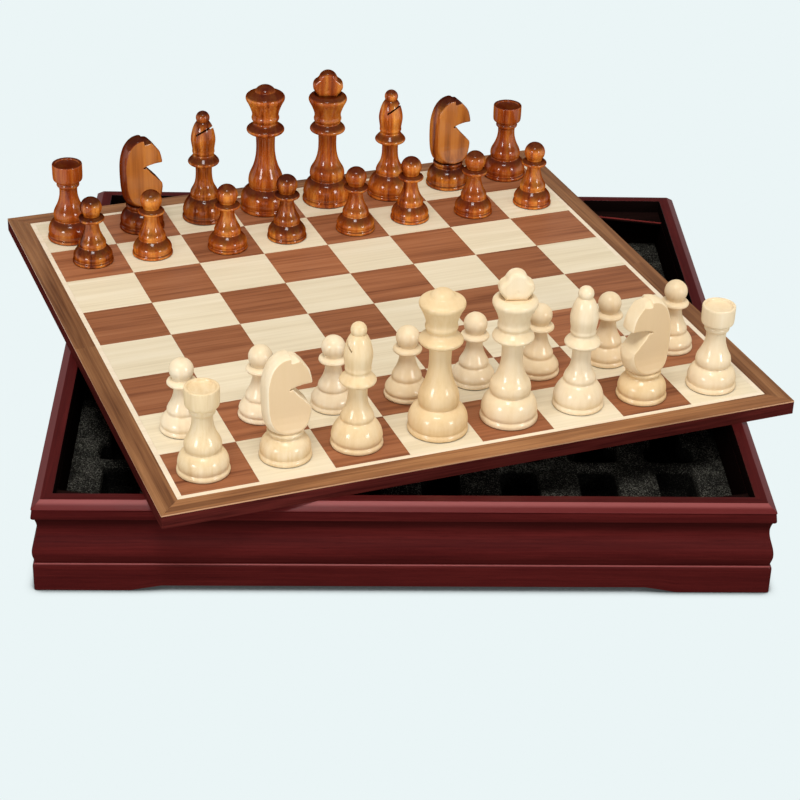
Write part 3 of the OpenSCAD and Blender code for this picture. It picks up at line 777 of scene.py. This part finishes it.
BISHOP = [(12.6, 0), (12.9, 0.4), (13, 1.2), (12.8, 2), (12.3, 2.6), (12.1, 3.1), (12.4, 3.8),
          (12.65, 4.9), (12.5, 6.4), (12, 8.2), (11.2, 10), (10.1, 11.7), (9.1, 12.9), (8.3, 13.6),
          (7.9, 14.2), (8.1, 14.9), (8.2, 15.8), (7.8, 17.2), (7.1, 18.6), (6.3, 20), (5.6, 21.6),
          (5.15, 23.4), (4.85, 25.4), (4.7, 28), (4.7, 31), (4.95, 33.6), (7.4, 33.9), (8.4, 34.3),
          (9, 35), (9.05, 35.8), (8.5, 36.7), (7.5, 37.8), (6.6, 38.8), (6, 39.7), (5.95, 40.4),
          (6.4, 41.2), (6.45, 42), (6.3, 42.9), (6.45, 44.2), (6.75, 46), (7.05, 48.2), (7.05, 50),
          (6.8, 51.8), (6.3, 54.2), (5.6, 56.5), (4.7, 58.5), (3.6, 60), (2.9, 60.5)]
QUEEN = [(14.5, 0), (14.9, 0.5), (15, 1.5), (14.7, 2.4), (14.3, 3), (14.25, 3.5), (14.6, 4.2),
         (14.8, 5.6), (14.7, 7.4), (14.2, 9.4), (13.3, 11.2), (12, 12.6), (10.7, 13.5), (9.8, 14.1),
         (9.6, 14.6), (9.9, 15.3), (10.2, 16.6), (10.2, 18.2), (9.9, 20.6), (9.3, 22.5),
         (8.2, 24.9), (7.4, 26.8), (6.5, 29.8), (5.9, 32.8), (5.5, 36), (5.4, 40), (5.55, 44.5),
         (5.8, 47.6), (8.9, 47.9), (10.1, 48.4), (10.8, 49.1), (11.05, 50), (10.7, 50.9),
         (9.6, 51.8), (8, 52.8), (7, 54), (7, 54.9), (7.6, 55.7), (8.05, 56.6), (8.05, 57.6),
         (7.65, 58.6), (7.7, 60), (8.3, 62), (9.1, 64.2), (10.2, 66.6), (11, 67.8), (11.35, 69),
         (11.35, 70), (10.9, 70.9), (9.9, 71.7), (7.6, 72.6), (6.2, 73.1), (5.6, 74.2), (4.4, 75.6),
         (2.6, 76.6), (1, 76.9)]
KING = [(14.1, 0), (14.4, 0.5), (14.5, 1.6), (14.2, 2.6), (13.7, 3.3), (13.65, 3.8), (13.9, 4.4),
        (14.05, 5.4), (13.95, 6.8), (13.6, 8.6), (12.9, 10.6), (11.9, 12.4), (10.6, 13.7),
        (9.7, 14.4), (9.6, 14.9), (10, 15.6), (10.3, 16.8), (10.3, 18.2), (9.9, 20.2), (9.2, 21.6),
        (8.1, 23.3), (7.1, 25.4), (6.3, 27.8), (5.7, 30.4), (5.35, 33.2), (5.25, 37), (5.35, 41),
        (5.6, 44.2), (8.6, 44.4), (9.9, 44.7), (10.4, 45.5), (10.3, 46.4), (9.6, 47.5), (8.5, 48.6),
        (7.4, 49.5), (7.2, 50.3), (7.8, 51), (8.15, 51.9), (8, 52.9), (7.65, 53.9), (7.75, 55.4),
        (8.3, 57.4), (9.1, 59.4), (10, 61.3), (10.8, 62.7), (11.25, 64), (11.1, 65.2), (10.5, 66.1),
        (9.5, 66.8), (8.6, 67.2)]
KNIGHT = [(12.5, 0), (12.8, 0.4), (12.9, 1.2), (12.7, 2), (12.2, 2.6), (12, 3.1), (12.2, 3.8),
          (12.4, 4.8), (12.3, 6.2), (11.8, 8), (11, 9.4), (9.9, 10.7), (9, 11.5), (8.4, 12.1),
          (8.3, 12.7), (8.7, 13.3), (9, 14.1), (8.9, 14.9), (8.5, 15.4)]


def ball(r, centre, start):
    """Points of a ball on the axis, from the radius start where it meets the neck, to its top."""
    first = -math.acos(min(1, start / r))
    return [(r * math.cos(a), centre + r * math.sin(a))
            for a in np.linspace(first, math.pi / 2, 14)]


def turning(shape, top=()):
    """The full line to turn: a thin felt, the foot that overhangs it, the shape, then its top."""
    r = shape[0][0]
    felt = [(0, 0), (r - 0.3, 0), (r - 0.3, FELT), (r + 0.1, FELT)]
    return felt + cut_corners([(r + 0.15, FELT)] + shape[1:]) + list(top)


def spin(name, body, node, line, material, felt):
    """Turns the line (radius, height, in mm) about the middle of the node's box."""
    sides = 80
    lo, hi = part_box(node)
    axis = Vector(((lo.x + hi.x) / 2, (lo.y + hi.y) / 2, lo.z))
    vertices, faces, rings = [], [], []
    for r, z in line:
        if r < 1e-6:
            rings.append([len(vertices)] * sides)
            points = [(0.0, 0.0)]
        else:
            rings.append(list(range(len(vertices), len(vertices) + sides)))
            points = [(r * math.cos(a), r * math.sin(a))
                      for a in np.linspace(0, 2 * math.pi, sides, endpoint=False)]
        vertices += [axis + Vector((x, y, z)) * MM for x, y in points]
    for a, b in zip(rings, rings[1:]):
        for i in range(sides):
            j = (i + 1) % sides
            face = list(dict.fromkeys((a[i], a[j], b[j], b[i])))
            if len(face) > 2:
                faces.append(face)
    piece = add_piece(name, vertices, faces, material, sharp=55)
    piece.data.materials.append(felt)
    height = [v.co.z for v in piece.data.vertices]
    felt_top = lo.z + (FELT + 0.05) * MM
    for face in piece.data.polygons:
        face.material_index = int(max(height[v] for v in face.vertices) < felt_top)
    return stand_for(piece, body, node)


def slit_cutter(top, height, turn):
    """A thin blade that comes in from one side of a bishop's head, down to its middle."""
    lean = math.radians(-38)
    reach, half_w, half_t = 14, 12, 0.5
    swing = Matrix.Rotation(BOARD_TURN + turn, 3, "Z") @ Matrix.Rotation(lean, 3, "Y")
    middle = Vector((top.x, top.y, height))
    corners = [Vector((x, y, z)) * MM
               for x in (0, reach) for y in (-half_w, half_w) for z in (-half_t, half_t)]
    faces = [(0, 1, 3, 2), (4, 6, 7, 5), (0, 4, 5, 1), (2, 3, 7, 6), (0, 2, 6, 4), (1, 5, 7, 3)]
    mesh = bpy.data.meshes.new("blade")
    mesh.from_pydata([middle + swing @ c for c in corners], [], faces)
    blade = bpy.data.objects.new("blade", mesh)
    bpy.context.scene.collection.objects.link(blade)
    return blade


LINES = {"pawn": turning(PAWN, ball(6.04, 32.76, 4.6)),
         "rook": turning(ROOK, [(0, 44)]),
         "bishop": turning(BISHOP, ball(3.95, 62.25, 2.9)),
         "queen": turning(QUEEN, [(0, 76.9)]),
         "king": turning(KING, [(7.9, 67.1), (7.4, 66.7), (6.5, 66.5), (0, 66.5)]),
         "knight": turning(KNIGHT, [(0, 15.4)])}


# blank and side view of a knight's head, in mm from its foot, muzzle towards +X
HEAD_AXIS = 0.55
HEAD_BLANK = [(7.5, 0), (9.9, 1.8), (11.4, 5.3), (12.1, 10.6), (12.35, 17.6), (12.25, 24.6),
              (11.35, 29.6), (9.85, 34.1), (7.6, 37.4), (5, 39.6), (2, 40.6)]
HEAD_SIDE = [(-15, -1), (-15, 42), (1.2, 42), (1.3, 39.8), (4.1, 39.2), (5.9, 37.5), (8.6, 34.5),
             (11.5, 30.5), (12.6, 28), (15, 27), (15, 24.6), (8.5, 24.8), (5, 24.5), (2.7, 24),
             (1.9, 23.5), (2.5, 22.5), (5, 19.5), (8.4, 15.9), (10.9, 13), (12, 10.2), (15, 3),
             (15, -1)]


def knight_head():
    """Turned like a bullet, milled flat on both sides, sawn to the side view, and eased."""
    lo, step = (-12.8, -9.4, -0.6), 0.4
    x, y, z = grid(lo, (14, 9.4, 41.6), step)
    right = cut_corners(HEAD_BLANK, 1)
    blank = outline_distance(np.hypot(x - HEAD_AXIS, y), z,
                             right + [(-r, h) for r, h in reversed(right)])
    # the cheeks: half the width at each height, and a muzzle that narrows towards its end
    half = np.interp(z, (-1, 0, 3, 6, 9, 12, 15, 42), (9.1, 8.8, 7.8, 6.95, 6.35, 6.1, 6, 4.9))
    muzzle = np.where(z > 23.5, 0.09 * np.maximum(x - 2, 0), 0)
    flats = np.abs(y) - half + muzzle
    side = outline_distance(x[:, 0, :], z[:, 0, :], HEAD_SIDE)[:, None, :]
    mouth = outline_distance(x[:, 0, :], z[:, 0, :],
                             [(2.4, 24), (2.4, 23.1), (0.4, 22.7), (0.2, 23.2)])
    head = overlap(overlap(blank, flats, 0.45), side + 0 * x, 0.4)
    head = overlap(head, -mouth[:, None, :] + 0 * x, 0.2)
    # in front of the ears the top edges are cut down
    cut = np.maximum((41.9 - z - np.abs(y)) * 0.7, np.maximum(1.3 - x, x - 5.4))
    head = overlap(head, -cut, 0.2)
    return skin(head, lo, step)


def clover():
    """The king's finial: three round lobes on a foot, cut from a slab and softened all round."""
    lo, step = (-9.6, -4.8, -1.2), 0.3
    x, y, z = grid(lo, (9.6, 4.8, 15), step)
    lobes = -overlap(5.4 - np.hypot(x, z - 8.8), 4.3 - np.hypot(np.abs(x) - 4.4, z - 5.4), 1)
    foot = outline_distance(x, z, [(-5.4, -0.9), (5.4, -0.9), (6.6, 4), (-6.6, 4)])
    return skin(overlap(-overlap(-lobes, -foot, 1.6), np.abs(y) - 4, 2.2), lo, step)


def build_men(woods, felt):
    """The 32 men, each turned its own way; some in another tone, on the light pawns painted light.
    """
    carved_head, carved_clover = knight_head(), clover()
    # paler boxwood: the own whiter tone of king, rook h and bishop f, and painted light on the
    # pawns
    pale = "king rook_h bishop_f pawn_a pawn_b pawn_c pawn_d pawn_e pawn_f pawn_g pawn_h"
    deep = "pawn_a pawn_d bishop_c knight_b knight_g"
    tones = {f"light_{man}": "pale" for man in pale.split()}
    tones.update({f"dark_{man}": "deep" for man in deep.split()})
    slit_share = 0.8  # of a bishop's height, where the slit ends
    slits = {"light_bishop_c": 131, "light_bishop_f": 50,
             "dark_bishop_c": -54, "dark_bishop_f": -40}
    turns = {"light_knight_g": 188, "light_king": -14, "dark_king": -18,
             "dark_knight_b": DARK_KNIGHT_TURN, "dark_knight_g": DARK_KNIGHT_TURN}
    for side in ("light", "dark"):
        for file in "abcdefgh":
            name = f"{side}_pawn_{file}"
            spin(f"{name}_turned", name, name, LINES["pawn"], woods[tones.get(name, side)], felt)
        for man in BACK_FILES:
            kind = man.split("_")[0]
            name = f"{side}_{man}"
            wood = woods[tones.get(name, side)]
            node = name + "_base" if kind == "knight" else name
            turned = spin(f"{name}_turned", name, node, LINES[kind], wood, felt)
            lo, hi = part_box(node)
            top = Vector(((lo.x + hi.x) / 2, (lo.y + hi.y) / 2, hi.z))
            swing = BOARD_TURN + math.radians(turns.get(name, 0))
            if kind == "bishop":
                height = lo.z + slit_share * (hi.z - lo.z)
                saw(turned, slit_cutter(top, height, math.radians(slits[name])))
            elif kind == "knight":
                stand_carved(f"{name}_carved", name, f"{name}_head", carved_head, top, swing,
                             woods[f"{side}_face"])
            elif kind == "king":
                stand_carved(f"{name}_clover", name, f"{name}_finial", carved_clover, top, swing,
                             wood)


# ---------------------------------------------------------------- set

def build_camera():
    """The camera's place and aim, and the length of its lens on a 36 mm wide image."""
    place = Vector((-34.3, -1026.0, 593.6)) * MM
    yaw, pitch, roll = math.radians(2.795), math.radians(30.224), math.radians(1.834)
    forward = Vector((math.sin(yaw) * math.cos(pitch), math.cos(yaw) * math.cos(pitch),
                      -math.sin(pitch)))
    right = Vector((math.cos(yaw), -math.sin(yaw), 0))
    up = right.cross(forward)
    side = math.cos(roll) * right + math.sin(roll) * up
    top = -math.sin(roll) * right + math.cos(roll) * up
    data = bpy.data.cameras.new("camera")
    data.sensor_width = 36
    data.lens = 95.82
    data.clip_start, data.clip_end = 0.05, 50
    camera = bpy.data.objects.new("camera", data)
    bpy.context.scene.collection.objects.link(camera)
    turn = Matrix((side, top, -forward)).transposed()
    camera.matrix_world = Matrix.Translation(place) @ turn.to_4x4()
    bpy.context.scene.camera = camera


def add_lamp(name, azimuth, elevation, distance, width, height, power, mirrored=True):
    """A soft box that faces the board; azimuth 0 is the front, and positive is to the right.

    One that isn't mirrored gives light, but glossy surfaces don't show it.
    """
    a, e = math.radians(azimuth), math.radians(elevation)
    aim = Vector((0, 0, 0.07))  # just above the middle of the board
    away = Vector((math.sin(a) * math.cos(e), -math.cos(a) * math.cos(e), math.sin(e)))
    data = bpy.data.lights.new(name, "AREA")
    data.shape = "RECTANGLE"
    data.size, data.size_y = width, height
    data.energy = power
    lamp = bpy.data.objects.new(name, data)
    bpy.context.scene.collection.objects.link(lamp)
    lamp.visible_glossy = mirrored
    lamp.location = aim + away * distance
    lamp.rotation_mode = "QUATERNION"
    lamp.rotation_quaternion = (-away).to_track_quat("-Z", "Y")


def build_world():
    """Pale sweep up to a little above eye level and a dim ceiling; as a lamp it is a soft dome."""
    world = bpy.data.worlds.new("studio")
    bpy.context.scene.world = world
    world.use_nodes = True
    w = Wiring(world.node_tree)
    up = w.node("ShaderNodeTexCoord", {}, {}, "Generated").axis(2)
    sweep = w.mix(up.between(0.20, 0.32), PALE, (0.10, 0.105, 0.11))
    dome = w.mix(up.between(0.0, 0.8), (0.36, 0.36, 0.37), (0.44, 0.43, 0.42))
    w.feed(w.tree.nodes["Background"].inputs["Color"], w.mix(w.shown_plain(), dome, sweep))


def build_set():
    """Floor, lamps and surroundings."""
    half = 6.0
    corners = [(-half, -half, 0), (half, -half, 0), (half, half, 0), (-half, half, 0)]
    floor = add_piece("floor", corners, [(0, 1, 2, 3)], floor_finish())
    add_lamp("lamp_left", -40, 18, distance=1.6, width=0.34, height=0.34, power=5.2)
    add_lamp("lamp_right", 47, 18, distance=1.6, width=0.34, height=0.34, power=5)
    add_lamp("lamp_top", -6, 69, distance=2.0, width=1.0, height=1.0, power=25, mirrored=False)
    add_lamp("lamp_glint", -6, 62, distance=2.0, width=0.5, height=0.28, power=5)
    build_world()
    bpy.context.scene.view_settings.view_transform = "Standard"


# ---------------------------------------------------------------- all of it

def paint_node(node, material):
    """Gives a node of the frame its finish."""
    piece = frame["nodes"][node]
    piece.data.materials.clear()
    piece.data.materials.append(material)


boxwood = {"gloss": 0.17, "contrast": 0.65,
           "stops": ((0.15, srgb(198, 162, 112)), (0.5, srgb(224, 199, 158)),
                     (0.8, srgb(238, 221, 190))),
           "upward_colour": srgb(226, 200, 156), "upward_share": 0.4,
           "warm": srgb(220, 180, 122), "warm_share": 0.35}
# paler boxwood, also under the light knights' cheeks; on the light pawns it is painted light
boxwood_pale = {"gloss": 0.17, "contrast": 0.55,
                "stops": ((0.15, srgb(206, 178, 134)), (0.5, srgb(233, 214, 182)),
                          (0.8, srgb(242, 231, 209))),
                "upward_colour": srgb(228, 207, 168), "upward_share": 0.4,
                "warm": srgb(224, 190, 138), "warm_share": 0.4}
stained = {"gloss": 0.11, "contrast": 1.6,
           "stops": ((0.15, srgb(104, 34, 6)), (0.5, srgb(188, 94, 28)),
                     (0.85, srgb(236, 152, 62))),
           "upward_colour": srgb(66, 21, 8), "upward_share": 0.9,
           "warm": srgb(132, 48, 12), "warm_share": 0.5}
stained_deep = {"gloss": 0.11, "contrast": 1.8,
                "stops": ((0.15, srgb(80, 25, 5)), (0.5, srgb(164, 80, 22)),
                          (0.85, srgb(222, 138, 52))),
                "upward_colour": srgb(52, 15, 7), "upward_share": 0.92,
                "warm": srgb(110, 38, 10), "warm_share": 0.6}
light_cheeks = (BOARD_TURN, srgb(208, 168, 116), 0.85)
dark_cheeks = (BOARD_TURN + math.radians(DARK_KNIGHT_TURN), srgb(196, 122, 54), 0.8)
woods = {"light": turned_wood("boxwood_lacquered", **boxwood),
         "pale": turned_wood("boxwood_pale", **boxwood_pale),
         "light_face": turned_wood("boxwood_cheeks", **boxwood_pale, face=light_cheeks),
         "dark": turned_wood("stained_lacquered", **stained),
         "deep": turned_wood("stained_deep", **stained_deep),
         "dark_face": turned_wood("stained_cheeks", **stained_deep, face=dark_cheeks)}
maple = (srgb(202, 184, 150), srgb(223, 208, 177), srgb(236, 224, 199))
walnut = (srgb(100, 54, 34), srgb(151, 94, 61), srgb(172, 114, 78))

build_camera()
build_chest(chest_finish())
build_foam(foam_finish())
paint_node("lid_rests", rest_finish())
paint_node("bottom_panel", plywood_finish())
paint_node("board_core", plywood_finish())
paint_node("board_edging", edging_finish())
paint_node("board_backing", border_veneer())
paint_node("veneer_border", border_veneer())
paint_node("veneer_line", line_veneer())
paint_node("veneer_light_squares",
           square_veneer("maple_squares", *maple, spread=0.04, contrast=0.4))
paint_node("veneer_dark_squares",
           square_veneer("walnut_squares", *walnut, spread=0.1, contrast=0.6))
build_men(woods, felt_finish())
build_set()
